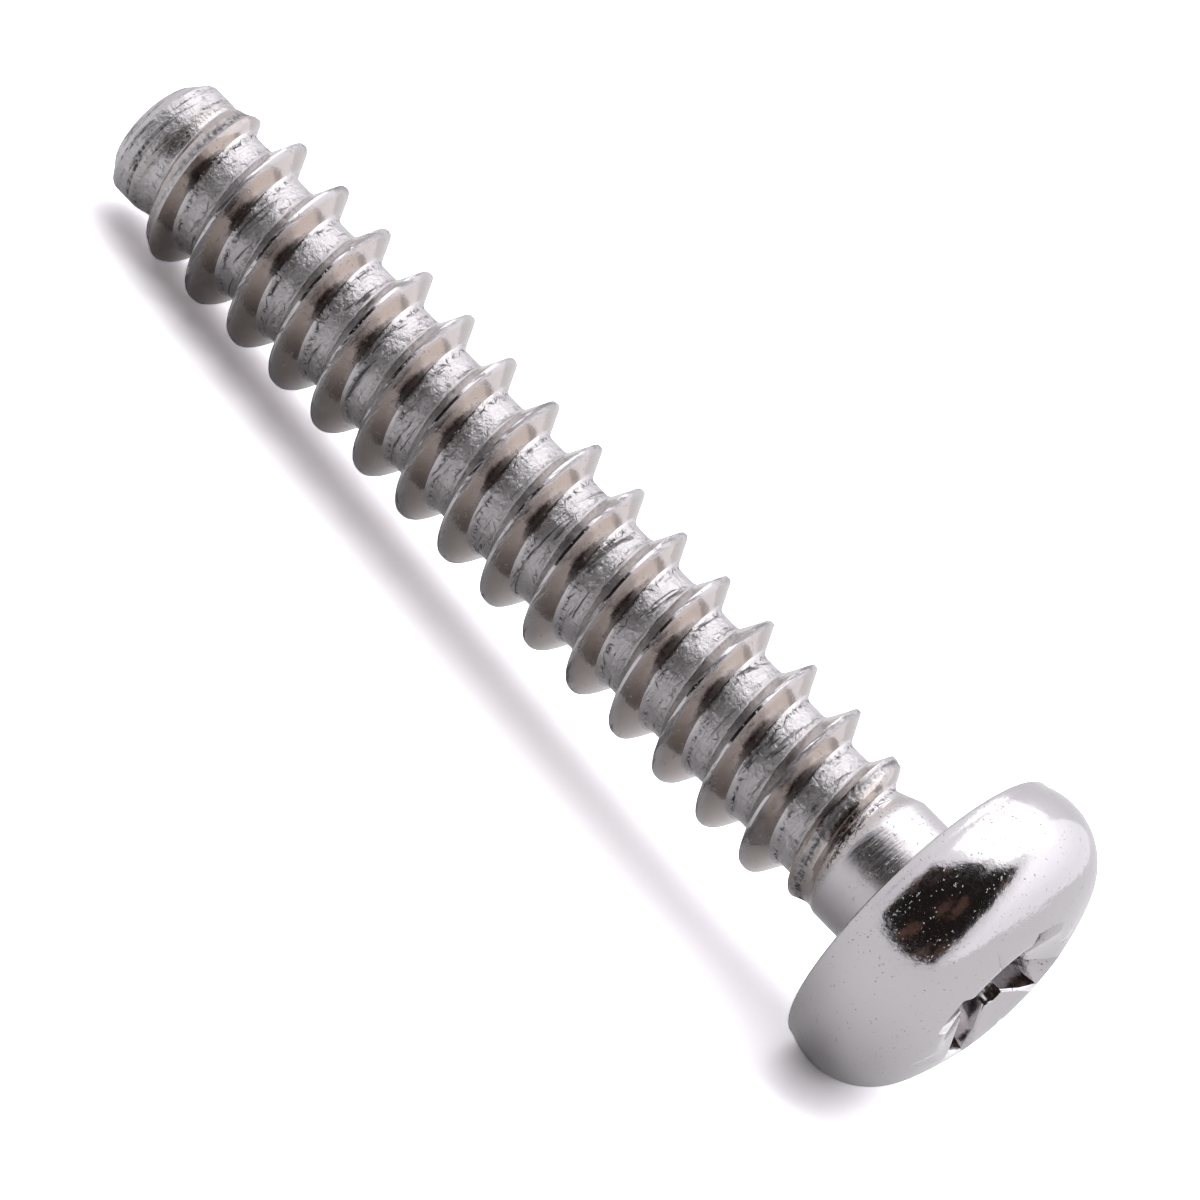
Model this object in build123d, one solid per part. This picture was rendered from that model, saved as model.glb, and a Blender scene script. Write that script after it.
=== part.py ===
from build123d import *
import math
import os

# Pan head tapping screw, 4.2 x 25, blunt end, type Z cross recess number 2.
# The screw is built standing on its own axis: seat of the head at Z = 0, head above, shank below.
# It is then laid down as it rests: head towards +X, rim of the head and first full thread on Z = 0.

# Shank and thread
length = 25.0          # seat of the head to the blunt end
thread_d = 4.2         # over the crests
root_d = 2.92          # between the crests
pitch = 1.4
flank_angle = 30.0     # each flank to a plane square to the axis
crest_flat = 0.07      # width of a fully formed crest
root_fillet = 0.16     # between flank and root
neck_d = 3.4           # plain shank under the head
neck_length = 1.5
neck_fillet = 0.25     # where the neck meets the seat
plug_d = 3.16          # plain blunt end, left from the blank
plug_length = 1.0
plug_bevel = 0.38
first_crest = 2.89     # blunt end to the first crest on the side that lies uppermost

# Run-outs: the crest is cut back where the blank was too thin to fill the die
tip_taper = 1.15       # length over which the crest grows from the plug to full height
neck_taper = 1.6       # length over which the crest fades into the neck

# Head
head_d = 8.0
head_height = 3.0
dome_radius = 7.5
widest_at = 0.86       # height of the widest place above the seat
seat_edge = 0.12       # small flat left between the seat and the rounded side

# Drive recess and the four marks between its wings
wing_span = 4.3
wing_width = 1.02
recess_depth = 2.2     # below the top of the dome
wall_lean = 14.0       # outer walls of the wings, to the axis
hub_width = 2.0        # across the flats of the square hub that widens the inner corners
hub_foot = 1.5         # the same at the bottom
cone_depth = 0.35      # centre of the bottom
dish_d = 3.8           # metal dragged down round the punch, between the wings
dish_lean = 18.0       # its slope, to a plane square to the axis
mark_reach = 5.3       # circle the marks run out to
mark_width = 0.42
mark_depth = 0.2
recess_turn = 8.0      # one wing, from straight up towards -Y, as the screw lies

head_r, thread_r, root_r = head_d / 2, thread_d / 2, root_d / 2
neck_r, plug_r = neck_d / 2, plug_d / 2
# the side is one arc, upright at the widest place and tangent to the dome
dome_z = head_height - dome_radius
side_radius = (dome_radius**2 - head_r**2 - (widest_at - dome_z)**2) / (2 * (dome_radius - head_r))


def upright(*edges):
    """A face in the XZ plane from edges drawn as (radius, height)."""
    return Plane.XZ * Face(Wire(edges))


def turned(*edges):
    """The closed outline (radius, height) revolved about the screw's axis."""
    return Solid.revolve(upright(*edges), 360, Axis.Z)


def polyline(*points):
    """Straight edges through the points, in order."""
    return [Line(a, b) for a, b in zip(points, points[1:])]


def make_head():
    """Rounded side and shallow dome, tangent to each other, on a flat seat."""
    side_r = head_r - side_radius
    # the two arcs meet on the line through both centres
    reach = dome_radius / math.hypot(side_r, widest_at - dome_z)
    shoulder = (side_r * reach, dome_z + (widest_at - dome_z) * reach)
    drop = widest_at - seat_edge
    rim = (side_r + math.sqrt(side_radius**2 - drop**2), seat_edge)
    half = math.atan2(shoulder[0], shoulder[1] - dome_z) / 2
    dome_mid = (dome_radius * math.sin(half), dome_z + dome_radius * math.cos(half))
    seat = (rim[0] - seat_edge, 0)
    return turned(
        Line((0, 0), seat),
        Line(seat, rim),
        ThreePointArc(rim, (head_r, widest_at), shoulder),
        ThreePointArc(shoulder, dome_mid, (0, head_height)),
        Line((0, head_height), (0, 0)),
    )


def make_neck():
    """Plain shank under the head: fillet to the seat above, cone into the thread's root below."""
    f = neck_fillet
    inner = f * (1 - math.sqrt(0.5))
    sunk_r = root_r - 0.24
    return turned(
        *polyline((0, 0.3), (0, -neck_length - 1.2), (sunk_r, -neck_length - 1.2),
                  (neck_r, -neck_length), (neck_r, -f)),
        ThreePointArc((neck_r, -f), (neck_r + inner, -inner), (neck_r + f, 0)),
        *polyline((neck_r + f, 0), (neck_r + f, 0.3), (0, 0.3)),
    )


def make_plug():
    """Blunt end: bevelled disc, with a cone that sinks into the thread's root."""
    top = plug_length - length
    return turned(*polyline(
        (0, -length), (plug_r - plug_bevel, -length), (plug_r, -length + plug_bevel),
        (plug_r, top), (root_r - 0.2, top + 1.2), (0, top + 1.2), (0, -length)))


def thread_section():
    """One ridge in an axial plane: narrow crest, straight flanks, hollow fillets sunk into the root."""
    lean = math.radians(flank_angle)
    low = root_r - 0.04
    arc_r = low + root_fillet
    arc_z = crest_flat / 2 + (thread_r - arc_r) * math.tan(lean) + root_fillet / math.cos(lean)

    def on_arc(degrees):
        a = math.radians(degrees)
        return arc_r - root_fillet * math.sin(a), arc_z - root_fillet * math.cos(a)

    top, mid, end = on_arc(flank_angle), on_arc((flank_angle + 80) / 2), on_arc(80)
    crest = (thread_r, crest_flat / 2)
    sunk = (root_r - 0.1, end[1])

    def low_side(point):
        return point[0], -point[1]

    return upright(
        *polyline(low_side(sunk), sunk, end),
        ThreePointArc(end, mid, top),
        *polyline(top, crest, low_side(crest), low_side(top)),
        ThreePointArc(low_side(top), low_side(mid), low_side(end)),
        Line(low_side(end), low_side(sunk)),
    )


def make_thread():
    """Root cylinder with a right-hand ridge, swept past both ends and cut to the rolled blank's shape."""
    start = first_crest - length - 3 * pitch
    rise = math.ceil(-start / pitch) * pitch
    path = Pos(0, 0, start) * Edge.make_helix(pitch, rise, root_r)
    ridge = Solid.sweep(Pos(0, 0, start) * thread_section(), path, is_frenet=True)
    # the cylinder's seam is kept away from the ridge's ends
    root = Rot(0, 0, 30) * Solid.make_cylinder(root_r, rise + 1, Plane((0, 0, start - 0.5)))
    low = plug_length + 0.1 - length
    lean = (thread_r - plug_r) / tip_taper
    clear = 0.01
    blank = turned(*polyline(
        (0, low - 0.6), (plug_r - 0.6 * lean, low - 0.6), (thread_r + clear, low + tip_taper),
        (thread_r + clear, -neck_length - neck_taper), (neck_r - 0.12, -neck_length),
        (0, -neck_length), (0, low - 0.6)))
    return (root + ridge) & blank


def make_recess():
    """Four tapered wings, a square hub set cornerwise to them, a cone at the bottom and the dished rim."""
    floor_z = head_height - recess_depth
    over = 0.5
    spread = math.tan(math.radians(wall_lean))
    foot = wing_span / 2 - (recess_depth - 0.3) * spread
    cone = turned(*polyline(
        (0, floor_z), (foot, floor_z), (foot + (recess_depth + over) * spread, head_height + over),
        (0, head_height + over), (0, floor_z)))
    tall = recess_depth + over
    slab = Pos(0, 0, floor_z + tall / 2) * Box(2 * head_r, wing_width, tall)
    wings = (slab + Rot(0, 0, 90) * slab) & cone
    hub = loft([Pos(0, 0, floor_z) * Rot(0, 0, 45) * Rectangle(hub_foot, hub_foot),
                Pos(0, 0, head_height + over) * Rot(0, 0, 45) * Rectangle(hub_width, hub_width)])
    hole = hub_foot / 2
    point = 0.15
    bottom = turned(*polyline(
        (0, floor_z - cone_depth), (point, floor_z - cone_depth), (hole, floor_z),
        (hole, floor_z + 0.2), (0, floor_z + 0.2), (0, floor_z - cone_depth)))
    dish_r = dish_d / 2
    dish_z = dome_z + math.sqrt(dome_radius**2 - dish_r**2)
    dish = turned(*polyline(
        (0, dish_z - dish_r * math.tan(math.radians(dish_lean))), (dish_r, dish_z),
        (dish_r, head_height + over), (0, head_height + over),
        (0, dish_z - dish_r * math.tan(math.radians(dish_lean)))))
    return wings + hub + bottom + dish


def make_marks():
    """Four shallow V cuts between the wings, deepest at the hub and rising out of the dome."""
    out_r = mark_reach / 2
    out_z = dome_z + math.sqrt(dome_radius**2 - out_r**2)
    in_r = dish_d / 2 - 0.2
    in_z = dome_z + math.sqrt(dome_radius**2 - in_r**2) - mark_depth
    slope = mark_width / mark_depth / 2

    def vee(r, z):
        up = 0.6
        return Plane(origin=(r, 0, z), x_dir=(0, 1, 0), z_dir=(1, 0, 0)) * Face(Wire(polyline(
            (0, 0), (up * slope, up), (-up * slope, up), (0, 0))))

    one = loft([vee(in_r, in_z), vee(out_r + 0.3, out_z + 0.3 * (out_z - in_z) / (out_r - in_r))])
    return [Rot(0, 0, 45 + 90 * i) * one for i in range(4)]


def make_screw():
    """The whole screw, headed and rolled from one wire."""
    head = make_head() - Rot(0, 0, recess_turn) * make_recess()
    for mark in make_marks():
        head -= Rot(0, 0, recess_turn) * mark
    return make_thread() + make_plug() + make_neck() + head


def lie_down(screw):
    """Head towards +X, tilted until the head's side and the first full crest touch the floor."""
    along = widest_at - (first_crest - length - pitch / 2)
    across = head_r - side_radius - thread_r
    tilt = math.degrees(math.asin(side_radius / math.hypot(along, across)) + math.atan2(across, along))
    lying = Plane(origin=(0, 0, 0), x_dir=(0, 0, 1), z_dir=(1, 0, 0)) * screw
    lying = Rot(0, -tilt, 0) * lying
    box = lying.bounding_box()
    return Pos(-(box.min.X + box.max.X) / 2, -(box.min.Y + box.max.Y) / 2, -box.min.Z) * lying


os.makedirs("parts", exist_ok=True)
pan_head_screw = lie_down(make_screw())
export_step(pan_head_screw, "parts/pan_head_screw.step")
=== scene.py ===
import math
import bpy
import numpy as np
from mathutils import Matrix


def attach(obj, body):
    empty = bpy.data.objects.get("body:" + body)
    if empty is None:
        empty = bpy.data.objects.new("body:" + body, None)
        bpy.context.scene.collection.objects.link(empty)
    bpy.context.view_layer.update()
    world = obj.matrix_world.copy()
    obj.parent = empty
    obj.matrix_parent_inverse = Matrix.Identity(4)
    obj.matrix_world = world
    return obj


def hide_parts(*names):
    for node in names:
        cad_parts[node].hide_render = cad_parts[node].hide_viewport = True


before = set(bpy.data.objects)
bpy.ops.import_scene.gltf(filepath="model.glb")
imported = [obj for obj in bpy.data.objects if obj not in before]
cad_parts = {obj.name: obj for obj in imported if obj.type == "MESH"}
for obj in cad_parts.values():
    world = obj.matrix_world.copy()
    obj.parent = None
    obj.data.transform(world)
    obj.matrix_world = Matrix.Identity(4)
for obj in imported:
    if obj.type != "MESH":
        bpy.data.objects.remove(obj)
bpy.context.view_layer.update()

# ---- Screw --------------------------------------------------------------------------------------
# One piece of austenitic stainless wire: the head is struck in a die, the thread is rolled between
# flat dies, and the whole is tumbled bright. Rolling leaves the crest with a closed seam, and where
# the blank was too thin the crest stays unfilled, with two lips and a rough groove between them.

MM = 0.001
length, pitch = 25.0, 1.4
thread_r, root_r, neck_r, plug_r, head_r = 2.1, 1.46, 1.7, 1.58, 4.0
flank = math.radians(30)
half_crest, root_fillet = 0.035, 0.18
neck_length, plug_length, plug_bevel = 1.5, 1.0, 0.38
head_height, dome_radius, widest_at = 3.0, 7.5, 0.86
dome_z = head_height - dome_radius
side_radius = (dome_radius**2 - head_r**2 - (widest_at - dome_z)**2) / (2 * (dome_radius - head_r))
dish_r, dish_lean = 1.9, math.radians(18)
first_crest = 2.89 - length
columns = 160
seam = math.radians(215)            # the mesh's seam, turned to the underside
tilt = math.radians(4.6021)
seat_at = np.array([11.0591, 0.0, 3.9234])


def laid(radius, angle, z):
    """Points on the screw (radius, angle from straight up towards -Y, height above the seat) in metres."""
    up, side = radius * np.cos(angle), radius * np.sin(angle)
    x = z * math.cos(tilt) - up * math.sin(tilt) + seat_at[0]
    y = -side + seat_at[1]
    h = z * math.sin(tilt) + up * math.cos(tilt) + seat_at[2]
    return np.stack([x, y, h], axis=-1) * MM


def ridge(s):
    """Radius over a full thread at s mm from the crest: narrow crest, straight flank, hollow fillet, root."""
    s = np.abs(s)
    arc_r = root_r + root_fillet
    arc_s = half_crest + (thread_r - arc_r) * math.tan(flank) + root_fillet / math.cos(flank)
    line = thread_r - (s - half_crest) / math.tan(flank)
    inside = np.clip(root_fillet**2 - (s - arc_s) ** 2, 0, None)
    hollow = np.where(s < arc_s, arc_r - np.sqrt(inside), root_r)
    touch = arc_s - root_fillet * math.cos(flank)
    return np.where(s < half_crest, thread_r, np.where(s < touch, line, hollow))


def wobble(angle, z, rate, seed):
    """Smooth sum of sines in angle and height, about -1 to 1, with whole numbers of waves round the screw."""
    rng = np.random.default_rng(seed)
    total = 0
    for k in range(7):
        waves = rng.integers(1, 3 + int(rate * 3))
        total = total + np.sin(waves * angle + rng.uniform(0.3, 1.0) * rate * 2 * z + rng.uniform(0, 6.3))
    return total / 3.5


def shank_radius(angle, z):
    """Largest of root, plug and neck cones and the ridge, the ridge being cut to the rolled blank."""
    s = (z - first_crest - pitch * angle / (2 * math.pi) + pitch / 2) % pitch - pitch / 2
    low = plug_length + 0.1 - length
    core = np.interp(z, [-length, low - 0.1, low + 0.4, -neck_length - 0.6, -neck_length, 0],
                     [plug_r, plug_r, root_r, root_r, neck_r, neck_r])
    blank = np.interp(z, [low - 0.6, low + 1.15, -neck_length - 1.6, -neck_length],
                      [plug_r - 0.27, thread_r, thread_r, neck_r - 0.12])
    full = ridge(s)
    unfilled = np.clip((full - blank) * 4, 0, 1)
    groove = unfilled * (0.05 + 0.02 * wobble(angle * 6, z, 6, 3)) * (1 - np.clip(np.abs(s) / 0.2, 0, 1) ** 2)
    worn = 0.006 * wobble(angle, z, 3, 5) * np.clip((full - 2.0) * 20, 0, 1)
    return np.maximum(core, np.minimum(full, blank) - groove - worn), s


def thread_grid():
    """Rows run along the helix so that a row lies on every crest; one turn round the grid climbs one pitch.
    Heights are clipped to the threaded length, and each column's clipped points are merged into one."""
    half = np.array([0.035, 0.055, 0.13, 0.22, 0.30, 0.345, 0.38, 0.42, 0.47, 0.54, 0.62])
    across = np.concatenate([[0], half, [0.7], -half[::-1] + pitch])
    rows_each = len(across)
    bottom, top = -length + plug_bevel, -neck_length + 0.2
    turns = int(math.ceil((top - bottom) / pitch)) + 5
    first = math.floor((bottom - first_crest) / pitch) - 3
    row = (first + np.arange(turns))[:, None] * pitch + across[None, :]
    row = first_crest + row.ravel()
    angle = seam + 2 * math.pi * np.arange(columns) / columns
    z = row[:, None] + pitch * angle[None, :] / (2 * math.pi)
    inside = np.clip(z, bottom, top)
    return angle, inside, rows_each, bottom, top


angle, z_grid, rows_each, bottom, top = thread_grid()
n_rows = len(z_grid)
radius, _ = shank_radius(angle[None, :], z_grid)
points = laid(radius, angle[None, :], z_grid).reshape(-1, 3)
index = np.arange(n_rows * columns).reshape(n_rows, columns)
low_ring = np.argmax(z_grid > bottom, axis=0) - 1
high_ring = np.argmax(z_grid >= top, axis=0)
col = np.arange(columns)
merged = np.where(z_grid <= bottom, index[low_ring, col][None, :],
                  np.where(z_grid >= top, index[high_ring, col][None, :], index))
right = np.concatenate([merged[:, 1:], np.roll(merged[:, :1], -rows_each, axis=0)], axis=1)[:-rows_each - 1]
above = np.concatenate([merged[:, 1:], np.roll(merged[:, :1], -rows_each, axis=0)], axis=1)[1:-rows_each]
quads = np.stack([merged[:-rows_each - 1], right, above, merged[1:-rows_each]], axis=-1).reshape(-1, 4)


def end_rings():
    """Profile (radius, height) of the blunt end, from its centre out to the threaded length."""
    cup = [(0, 0.06), (0.5, 0.05), (0.9, 0.02), (1.05, 0)]
    edge = [(plug_r - plug_bevel - 0.03, 0), (plug_r - plug_bevel + 0.02, 0.03)]
    return [(r, -length + h) for r, h in cup + edge + [(plug_r - 0.19, 0.19), (plug_r - 0.03, 0.33)]]


def head_rings():
    """Profile (radius, height) from the neck round the seat, side and dome to the centre of the top."""
    f = 0.25
    a = np.linspace(0, math.pi / 2, 7)
    out = [(neck_r, z) for z in (-1.05, -0.8, -0.5)]
    out += list(zip(neck_r + f - f * np.cos(a), -f + f * np.sin(a)))
    out += [(2.4, 0), (3.0, 0), (3.4, 0)]
    side_r = head_r - side_radius
    start = math.asin((0.16 - widest_at) / side_radius)
    rim = (side_r + side_radius * math.cos(start), widest_at + side_radius * math.sin(start))
    b = np.linspace(-math.pi / 2, start, 6)
    out += list(zip(rim[0] + 0.13 * (np.cos(b) - math.cos(start)), 0.13 + 0.13 * np.sin(b)))
    end = math.atan2(widest_at - dome_z, side_r)
    c = np.linspace(start, end, 34)[1:]
    out += list(zip(side_r + side_radius * np.cos(c), widest_at + side_radius * np.sin(c)))
    lip = math.asin(2.0 / dome_radius)
    inner = np.arcsin(np.linspace(1.95, 0, 16) / dome_radius)
    d = np.concatenate([np.linspace(math.pi / 2 - end, lip, 14)[1:], inner])
    out += [(x, dome_height(x)) for x in dome_radius * np.sin(d)]
    return out


def dome_height(x):
    """Height of the dome at radius x, dished round the recess where the punch dragged the metal down."""
    top = dome_z + np.sqrt(dome_radius**2 - np.square(x))
    dish = dome_z + math.sqrt(dome_radius**2 - dish_r**2) - (dish_r - x) * math.tan(dish_lean)
    blend = 0.04
    return 0.5 * (top + dish - np.sqrt((top - dish) ** 2 + blend**2))


def turned_rings(profile, ripple):
    """Rings of the profile, with a slight unevenness of the die-struck surface; the pole stays one point."""
    r, z = np.array(profile).T
    a = np.broadcast_to(angle[None, :], (len(r), columns))
    soft = ripple * np.clip(r, 0, 1)[:, None] * wobble(a, z[:, None], 1.2, 11)
    return laid(r[:, None] + soft, a, z[:, None] + 0 * a)


end_points = turned_rings(end_rings()[1:], 0.012)
head_points = turned_rings(head_rings()[:-1], 0.004)
base = len(points)
end_index = base + np.arange(len(end_points) * columns).reshape(-1, columns)
head_index = end_index.max() + 1 + np.arange(len(head_points) * columns).reshape(-1, columns)
poles = head_index.max() + 1, head_index.max() + 2


def bands(rings):
    """Quads between successive rings of vertex numbers, wound with the outside outwards."""
    rings = np.asarray(rings)
    nxt = np.roll(rings, -1, axis=1)
    return np.stack([rings[:-1], nxt[:-1], nxt[1:], rings[1:]], axis=-1).reshape(-1, 4)


lower = np.vstack([end_index, merged[0][None, :]])
upper = np.vstack([merged[-1][None, :], head_index])
every_quad = np.vstack([quads, bands(lower), bands(upper)])
tris = np.vstack([every_quad[:, [0, 1, 2]], every_quad[:, [0, 2, 3]]])
fan = np.stack([np.full(columns, poles[0]), np.roll(end_index[0], -1), end_index[0]], axis=1)
crown = np.stack([np.full(columns, poles[1]), head_index[-1], np.roll(head_index[-1], -1)], axis=1)
tris = np.vstack([tris, fan, crown])
whole = (tris[:, 0] != tris[:, 1]) & (tris[:, 1] != tris[:, 2]) & (tris[:, 0] != tris[:, 2])
tris = tris[whole]
pole_points = np.vstack([laid(0.0, 0.0, -length + 0.06), laid(0.0, 0.0, dome_height(0.0))])
vertices = np.vstack([points, end_points.reshape(-1, 3), head_points.reshape(-1, 3), pole_points])
used, tris = np.unique(tris, return_inverse=True)
vertices, tris = vertices[used], tris.reshape(-1, 3)


def mesh_object(name, verts, faces):
    """A mesh object at the origin from arrays of vertices in metres and triangles."""
    mesh = bpy.data.meshes.new(name)
    mesh.from_pydata(verts.tolist(), [], faces.tolist())
    mesh.validate()
    obj = bpy.data.objects.new(name, mesh)
    bpy.context.scene.collection.objects.link(obj)
    return obj


screw = mesh_object("pan_head_screw_visual", vertices, tris)


def recess_grid():
    """Cutter for the drive recess: rings of one cross outline, wide above the rim, drawn in as they go down.
    Each ring lies at its depth under the dome; ends, sides and hub each lean in at their own rate."""
    depth = np.array([-0.6, -0.12, -0.03, 0.0, 0.03, 0.08, 0.5, 1.0, 1.5, 2.0])
    flare = np.array([0.10, 0.10, 0.06, 0.035, 0.012, 0, 0, 0, 0, 0])
    sunk = np.clip(depth, 0, None)
    end = 2.12 + flare - 0.26 * sunk
    half = 0.49 + flare - 0.035 * sunk
    hub = 0.80 + flare - 0.10 * sunk
    rib = 0.035
    wide, slim = 0.8 * hub + 0.2 * half + rib, 0.2 * hub + 0.8 * half + rib
    corner, middle = (hub + half) / 2 + rib * 1.4, (end + hub) / 2
    t = np.linspace(-1, 1, 5)[:, None]
    arm_x = np.vstack([end - 0.06 * t * t, middle, hub + 0.04, hub, wide, corner, slim, half + rib, half,
                       half])
    arm_y = np.vstack([half * t, half, half, half + rib, slim, corner, wide, hub, hub + 0.04, middle])
    turn = (math.pi / 2 * np.arange(4))[:, None, None]
    x = (arm_x * np.cos(turn) - arm_y * np.sin(turn)).reshape(-1, len(depth)).T
    y = (arm_x * np.sin(turn) + arm_y * np.cos(turn)).reshape(-1, len(depth)).T
    r = np.hypot(x, y)
    z = dome_height(r) - depth[:, None]
    level = np.clip((depth[:, None] - 0.1) / 1.5, 0, 1)
    flat = head_height - depth[:, None]
    return r, np.arctan2(y, x) + math.radians(8), z * (1 - level) + flat * level


def closed_grid(name, pts, bottom_point=None):
    """Closed mesh from rings of points, each end closed with a fan to its middle or to the point given."""
    n, m = pts.shape[:2]
    middle = [pts[0].mean(axis=0), pts[-1].mean(axis=0) if bottom_point is None else bottom_point]
    number = np.arange(n * m).reshape(n, m)
    q = bands(number)
    f = np.vstack([q[:, [0, 1, 2]], q[:, [0, 2, 3]]])
    top_fan = np.stack([np.full(m, n * m), np.roll(number[0], -1), number[0]], axis=1)
    low_fan = np.stack([np.full(m, n * m + 1), number[-1], np.roll(number[-1], -1)], axis=1)
    return mesh_object(name, np.vstack([pts.reshape(-1, 3), middle]), np.vstack([f, top_fan, low_fan]))


r, a, z = recess_grid()
cutters = [closed_grid("recess", laid(r, a, z)[:, ::-1], laid(0.0, 0.0, head_height - 2.5))]
for k in range(4):
    t = np.linspace(0, 1, 6)[:, None]
    side = np.array([0.0, 0.5, 0.62, -0.62, -0.5])[None, :]
    lift = np.array([0.0, 0.5, 0.8, 0.8, 0.5])[None, :]
    along = 1.2 + 1.55 * t
    floor_z = dome_z + np.sqrt(dome_radius**2 - along**2) - 0.17 * (1 - t) ** 1.2 + 0.01 * t
    across = side * (0.8 - 0.3 * t)
    height = floor_z + lift * 0.42
    turn = math.radians(8 + 45 + 90 * k)
    cut = laid(np.hypot(along, across), np.arctan2(across, along + 0 * across) + turn, height)
    cutters.append(closed_grid(f"mark_{k}", cut))

for cutter in cutters:
    cut = screw.modifiers.new(cutter.name, "BOOLEAN")
    cut.operation, cut.solver, cut.object = "DIFFERENCE", "MANIFOLD", cutter
evaluated = screw.evaluated_get(bpy.context.evaluated_depsgraph_get())
finished = bpy.data.meshes.new_from_object(evaluated)
screw.modifiers.clear()
screw.data = finished
for cutter in cutters:
    bpy.data.objects.remove(cutter)
finished.shade_smooth()
finished.set_sharp_from_angle(angle=math.radians(32))

# what the finish, the painted shade and the painted reflection need to know about each place, in mm along and
# across the screw
place = np.empty(len(finished.vertices) * 3)
finished.vertices.foreach_get("co", place)
place = place.reshape(-1, 3) / MM - seat_at
z = place[:, 0] * math.cos(tilt) + place[:, 2] * math.sin(tilt)
up = place[:, 2] * math.cos(tilt) - place[:, 0] * math.sin(tilt)
a = np.arctan2(-place[:, 1], up)
r = np.hypot(place[:, 1], up)
_, s = shank_radius(a, z)
on_thread = np.clip((-1.5 - z) * 4, 0, 1) * np.clip((z + 24.2) * 4, 0, 1)
blank = np.interp(z, [-24.3, -22.75, -3.1, -1.5], [1.4, 2.1, 2.1, 1.6])
facts = {
    "crest": np.clip(1.6 - np.abs(s) / 0.05, 0, 1) * on_thread,
    "root": np.clip((1.56 - r) * 12, 0, 1) * on_thread,
    "unfilled": np.clip((ridge(s) - blank) * 3, 0, 1) * np.clip(1.4 - np.abs(s) / 0.2, 0, 1)
    * on_thread,
    # flank: where the painted reflection tints the steel beige
    "flank": np.clip((r - 1.52) * 12, 0, 1) * np.clip((np.abs(s) - 0.06) / 0.05, 0, 1) * on_thread,
    "neck": np.clip((z + 1.75) * 5, 0, 1) * np.clip(-z * 12, 0, 1),
    "tip": np.clip((-23.7 - z) * 3, 0, 1),
    # edge: the root fillets, for the cracks and for painted shade
    "edge": (np.clip(1 - np.abs(s - 0.47) / 0.09, 0, 1) + np.clip(1 - np.abs(s + 0.50) / 0.07, 0, 1))
    * on_thread,
}
for name, values in facts.items():
    finished.attributes.new(name, "FLOAT", "POINT").data.foreach_set("value", values.astype(np.float32))
lay = np.stack([z, 0.12 * up, -0.12 * place[:, 1]], axis=1)
lay = lay.astype(np.float32).ravel()
finished.attributes.new("lay", "FLOAT_VECTOR", "POINT").data.foreach_set("vector", lay)

steel = bpy.data.materials.new("bright stainless steel")
steel.use_nodes = True
tree = steel.node_tree
tree.nodes.clear()


def add(kind, settings=None, **inputs):
    """A new node in the current tree; an input takes a value or another node's output socket."""
    node = tree.nodes.new(kind)
    for key, value in (settings or {}).items():
        setattr(node, key, value)
    for key, value in inputs.items():
        socket = node.inputs[int(key[1:]) if key[0] == "_" else key.replace("_", " ")]
        if isinstance(value, bpy.types.NodeSocket):
            tree.links.new(value, socket)
        else:
            socket.default_value = value
    return node


def fact(name):
    return add("ShaderNodeAttribute", {"attribute_name": name}).outputs["Fac"]


def times(x, y):
    return add("ShaderNodeMath", {"operation": "MULTIPLY"}, _0=x, _1=y).outputs[0]


def plus(x, y):
    return add("ShaderNodeMath", {"operation": "ADD", "use_clamp": False}, _0=x, _1=y).outputs[0]


def most(x, y):
    return add("ShaderNodeMath", {"operation": "MAXIMUM"}, _0=x, _1=y).outputs[0]


def ramp(x, low, high, to_low=0.0, to_high=1.0):
    return add("ShaderNodeMapRange", {"interpolation_type": "SMOOTHSTEP"}, _0=x, _1=low, _2=high,
               _3=to_low, _4=to_high).outputs[0]


def linear(code):
    """Linear colour from an sRGB hex code."""
    c = np.array([int(code[i:i + 2], 16) for i in (0, 2, 4)]) / 255
    c = np.where(c < 0.04045, c / 12.92, ((c + 0.055) / 1.055) ** 2.4)
    return (*c.tolist(), 1.0)


coords = add("ShaderNodeTexCoord").outputs["Object"]
in_mm = add("ShaderNodeVectorMath", {"operation": "SCALE"}, _0=coords, Scale=1 / MM).outputs[0]
lay_mm = add("ShaderNodeAttribute", {"attribute_name": "lay"}).outputs["Vector"]
crest, root, unfilled, on_tip = (fact(n) for n in ("crest", "root", "unfilled", "tip"))
edge, flank, neck = (fact(n) for n in ("edge", "flank", "neck"))

grain = add("ShaderNodeTexNoise", Vector=in_mm, Scale=9.0, Detail=5.0, Roughness=0.65).outputs[0]
coarse = add("ShaderNodeTexNoise", Vector=in_mm, Scale=2.6, Detail=3.0, Roughness=0.55).outputs[0]
drag = add("ShaderNodeTexNoise", Vector=lay_mm, Scale=16.0, Detail=4.0, Roughness=0.6).outputs[0]
laps = add("ShaderNodeTexNoise", Vector=lay_mm, Scale=5.0, Detail=6.0, Roughness=0.7,
           Distortion=0.6).outputs[0]
wander = add("ShaderNodeTexNoise", Vector=in_mm, Scale=14.0, Detail=3.0).outputs["Color"]
strayed = add("ShaderNodeVectorMath", {"operation": "MULTIPLY_ADD"}, _0=wander, _1=(0.16, 0.16, 0.16),
              _2=in_mm).outputs[0]
pits = add("ShaderNodeTexVoronoi", Vector=strayed, Scale=9.0, Randomness=1.0).outputs["Distance"]
cracks = add("ShaderNodeTexVoronoi", {"feature": "DISTANCE_TO_EDGE"}, Vector=in_mm,
             Scale=3.0).outputs["Distance"]

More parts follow.
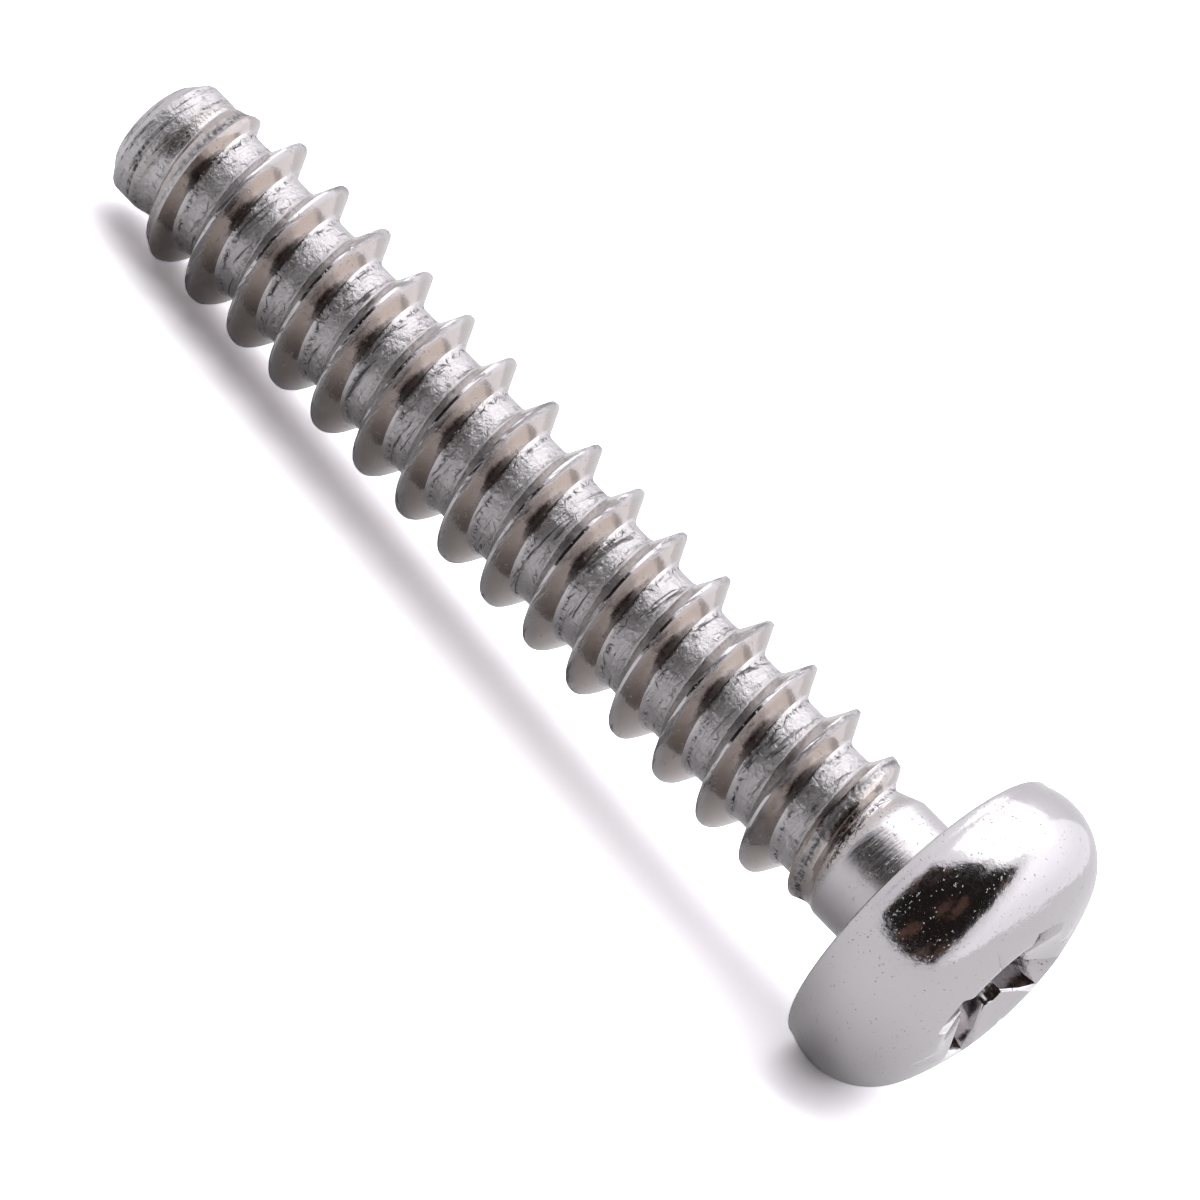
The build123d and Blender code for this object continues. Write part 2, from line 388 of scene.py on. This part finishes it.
pitted = times(ramp(pits, 0.22, 0.05), ramp(coarse, 0.46, 0.60))
lapped = times(ramp(laps, 0.57, 0.66), root)
cracked = times(times(ramp(cracks, 0.05, 0.015), ramp(coarse, 0.42, 0.52)), edge)
seamed = times(crest, ramp(laps, 0.50, 0.60))
worked = plus(root, plus(unfilled, on_tip))
torn = times(on_tip, times(ramp(laps, 0.50, 0.62), ramp(grain, 0.42, 0.6, 0.3, 0.9)))
# Dark marks of the steel (laps, pits, crest seam, cracks, unfilled and torn metal), together with painted
# shade in the root fillets.
marks_and_crease_shade = most(times(lapped, 0.8), times(pitted, plus(0.35, times(worked, 0.4))))
marks_and_crease_shade = most(marks_and_crease_shade, times(seamed, 0.7))
marks_and_crease_shade = most(marks_and_crease_shade, cracked)
# Painted shade: the root fillets, where each flank meets the root, darkened in patches.
marks_and_crease_shade = most(marks_and_crease_shade, times(edge, ramp(grain, 0.5, 0.62, 0.0, 0.75)))
marks_and_crease_shade = most(marks_and_crease_shade, times(unfilled, ramp(grain, 0.42, 0.60, 0.25, 0.85)))
marks_and_crease_shade = most(marks_and_crease_shade, torn)
# Steel colour with the flanks tinted beige, half in: a painted reflection of the warm surroundings.
steel_with_flank_reflection = add("ShaderNodeMix", {"data_type": "RGBA"}, Factor=times(flank, 0.5))
steel_with_flank_reflection.inputs[6].default_value = linear("CAC7C8")
steel_with_flank_reflection.inputs[7].default_value = linear("B3A699")
# One dark colour for the real marks and for the painted shade in the root fillets.
colour = add("ShaderNodeMix", {"data_type": "RGBA"}, Factor=marks_and_crease_shade)
tree.links.new(steel_with_flank_reflection.outputs[2], colour.inputs[6])
colour.inputs[7].default_value = linear("35322F")
uneven = times(ramp(grain, 0.4, 0.7), 0.08)
rough = plus(plus(0.11, times(neck, 0.17)), plus(times(worked, 0.20), plus(times(marks_and_crease_shade, 0.3), uneven)))
relief = plus(times(drag, times(root, 1.2)), times(grain, plus(0.05, times(worked, 1.6))))
relief = plus(relief, times(coarse, times(worked, 2.5)))
relief = plus(relief, plus(times(drag, times(neck, 0.7)), times(coarse, 0.45)))
relief = plus(relief, times(pitted, -0.35))
relief = plus(relief, times(marks_and_crease_shade, -0.8))
bump = add("ShaderNodeBump", Height=relief, Distance=0.02 * MM, Strength=1.0).outputs[0]
shader = add("ShaderNodeBsdfPrincipled", Base_Color=colour.outputs[2], Metallic=1.0, Roughness=rough,
             Normal=bump)
add("ShaderNodeOutputMaterial", Surface=shader.outputs[0])
finished.materials.clear()
finished.materials.append(steel)

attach(screw, "root")
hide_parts("pan_head_screw")

# ---- Floor, light and camera --------------------------------------------------------------------
# White paper sweep in a light tent: bright all round, with a dark opening on the camera's side.

to_camera_az, to_camera_el, roll = math.radians(14.7), math.radians(25.0), math.radians(43.7)
to_camera = np.array([math.sin(to_camera_az) * math.cos(to_camera_el),
                      -math.cos(to_camera_az) * math.cos(to_camera_el), math.sin(to_camera_el)])
axis = np.array([math.cos(tilt), 0, math.sin(tilt)])
near = to_camera - axis * (to_camera @ axis)
near /= np.linalg.norm(near)
over = np.cross(near, axis)

side = 0.6
corners = np.array([(-side, -side, 0), (side, -side, 0), (side, side, 0), (-side, side, 0)])
floor = mesh_object("floor", corners, np.array([(0, 1, 2), (0, 2, 3)]))
paper = bpy.data.materials.new("white paper")
paper.use_nodes = True
tree = paper.node_tree
tree.nodes.clear()
sheet = add("ShaderNodeBsdfDiffuse", Color=(0.80, 0.80, 0.80, 1))
shown = add("ShaderNodeBsdfDiffuse", Color=(2.10, 2.08, 2.10, 1))
by_camera = add("ShaderNodeLightPath").outputs["Is Camera Ray"]
paper_mix = add("ShaderNodeMixShader", _0=by_camera, _1=sheet.outputs[0], _2=shown.outputs[0])
add("ShaderNodeOutputMaterial", Surface=paper_mix.outputs[0])
floor.data.materials.append(paper)

world = bpy.data.worlds.new("tent")
bpy.context.scene.world = world
world.use_nodes = True
tree = world.node_tree
tree.nodes.clear()
ray = add("ShaderNodeTexCoord").outputs["Generated"]


def part_along(direction):
    """How far the ray's direction points along the given one, -1 to 1."""
    return add("ShaderNodeVectorMath", {"operation": "DOT_PRODUCT"}, _0=ray,
               _1=tuple(direction)).outputs["Value"]


def degrees_of(x):
    return times(x, 180 / math.pi)


# swing: degrees round from the camera's side towards the head; rise: degrees above the screw's axis
swing = degrees_of(add("ShaderNodeMath", {"operation": "ARCTAN2"}, _0=part_along(axis),
                       _1=part_along(near)).outputs[0])
rise = degrees_of(add("ShaderNodeMath", {"operation": "ARCSINE"}, _0=part_along(over)).outputs[0])
height = part_along((0, 0, 1))
brow = plus(46.0, times(swing, 0.55))
opening = times(times(ramp(swing, -46, -38), ramp(swing, 76, 71)),
                times(ramp(rise, -42, -36), ramp(plus(rise, times(brow, -1)), 2, -3)))
opening = times(opening, ramp(rise, 56, 52))
clutter = add("ShaderNodeTexNoise", Vector=ray, Scale=3.2, Detail=3.0).outputs[0]
inside = add("ShaderNodeMix", {"data_type": "RGBA"}, Factor=ramp(clutter, 0.56, 0.66))
inside.inputs[6].default_value = (0.016, 0.013, 0.012, 1)
inside.inputs[7].default_value = (0.11, 0.06, 0.048, 1)
tent = add("ShaderNodeMix", {"data_type": "RGBA"}, Factor=ramp(height, 0.1, 0.95))
tent.inputs[6].default_value = (0.87, 0.855, 0.905, 1)
tent.inputs[7].default_value = (1.26, 1.24, 1.30, 1)
seen = add("ShaderNodeMix", {"data_type": "RGBA"}, Factor=opening)
tree.links.new(tent.outputs[2], seen.inputs[6])
tree.links.new(inside.outputs[2], seen.inputs[7])
panel = times(ramp(swing, 74, 96), ramp(rise, -40, 5))
room = add("ShaderNodeBackground", Color=seen.outputs[2], Strength=plus(1.0, times(panel, 0.42)))
white = add("ShaderNodeBackground", Color=(1, 1, 1, 1), Strength=1.0)
camera_ray = add("ShaderNodeLightPath").outputs["Is Camera Ray"]
choice = add("ShaderNodeMixShader", _0=camera_ray, _1=room.outputs[0], _2=white.outputs[0])
add("ShaderNodeOutputWorld", Surface=choice.outputs[0])


def aimed(obj, position, target, up):
    """Puts obj at position, looking at target, with its own Y axis towards up."""
    back = position - target
    back = back / np.linalg.norm(back)
    right = np.cross(up, back)
    right /= np.linalg.norm(right)
    true_up = np.cross(back, right)
    rows = np.column_stack([right, true_up, back, position]).tolist()
    obj.matrix_world = Matrix(rows + [[0, 0, 0, 1]])


lamp = bpy.data.objects.new("softbox", bpy.data.lights.new("softbox", "AREA"))
lamp.data.shape, lamp.data.size, lamp.data.size_y, lamp.data.energy = "RECTANGLE", 0.6, 0.6, 0.9
bpy.context.scene.collection.objects.link(lamp)
above = np.array([-0.10, 0.12, 0.45])
aimed(lamp, above, np.array([0.0, 0, 0]), np.array([0.0, 1, 0]))

camera = bpy.data.objects.new("camera", bpy.data.cameras.new("camera"))
bpy.context.scene.collection.objects.link(camera)
bpy.context.scene.camera = camera
camera.data.sensor_width, camera.data.lens = 36.0, 272.7
camera.data.clip_start, camera.data.clip_end = 0.01, 5.0
flat_right = np.array([math.cos(to_camera_az), math.sin(to_camera_az), 0])
flat_up = np.cross(to_camera, flat_right)
tilted_up = flat_up * math.cos(roll) - flat_right * math.sin(roll)
aim = (seat_at - 9.9 * axis - 0.27 * over) * MM
aimed(camera, aim + 0.2 * to_camera, aim, tilted_up)

bpy.context.scene.view_settings.view_transform = "Standard"
